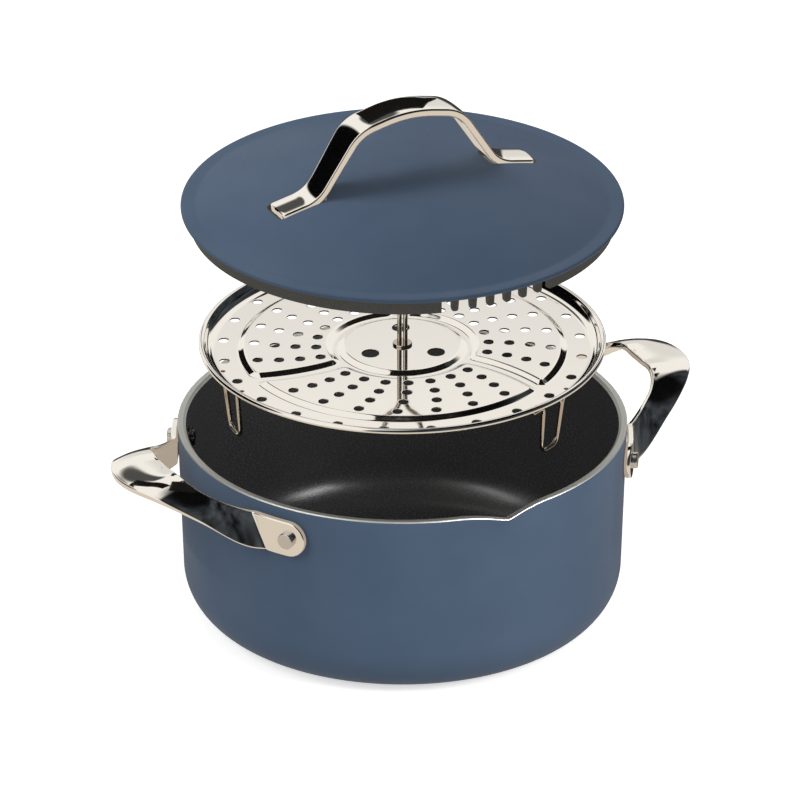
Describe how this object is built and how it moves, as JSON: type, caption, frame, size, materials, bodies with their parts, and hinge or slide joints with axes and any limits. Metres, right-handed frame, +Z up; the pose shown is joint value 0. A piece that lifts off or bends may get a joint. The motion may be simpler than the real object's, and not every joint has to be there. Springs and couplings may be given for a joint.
{
  "type": "steamer pot",
  "caption": "Round cooking pot with strap side handles and a pouring lip, a perforated lift-out steam rack on wire legs, and a domed straining lid with a silicone ring.",
  "frame": {"origin": "centre of the pot's flat base, on the surface that it stands on", "axes": "+Z up along the pot's axis, +X along the side handles, the pouring lip and the lid's strainer towards -Y"},
  "size_m": [0.3512, 0.2534, 0.3068],
  "materials": {
    "coated_aluminium": "satin slate-blue coating on aluminium, dark non-stick coating inside, bare ground rim",
    "polished_steel": "mirror-polished stainless steel",
    "rivet_steel": "satin stainless steel",
    "silicone": "matte dark grey silicone"
  },
  "bodies": {
    "pot": {"pot_body": "coated_aluminium", "right_handle": "polished_steel", "right_handle_rivet_a": "rivet_steel", "right_rivet_washer_a": "rivet_steel", "right_handle_rivet_b": "rivet_steel", "right_rivet_washer_b": "rivet_steel", "left_handle": "polished_steel", "left_handle_rivet_a": "rivet_steel", "left_rivet_washer_a": "rivet_steel", "left_handle_rivet_b": "rivet_steel", "left_rivet_washer_b": "rivet_steel"},
    "rack": {"rack_plate": "polished_steel", "rack_leg_1": "polished_steel", "rack_leg_2": "polished_steel", "rack_leg_3": "polished_steel", "lifting_loop": "polished_steel", "loop_washer": "polished_steel"},
    "lid": {"lid_shell": "coated_aluminium", "lid_gasket": "silicone", "lid_handle": "polished_steel", "lid_screw_right": "rivet_steel", "lid_washer_right": "rivet_steel", "lid_screw_left": "rivet_steel", "lid_washer_left": "rivet_steel"}
  },
  "joints": [
    {"name": "rack_lift", "type": "slide", "parent": "pot", "child": "rack", "axis": [0, 0, 1], "range_m": [-0.1178, 0]},
    {"name": "lid_lift", "type": "slide", "parent": "rack", "child": "lid", "axis": [0, 0, 1], "range_m": [-0.0137, 0.06]}
  ]
}
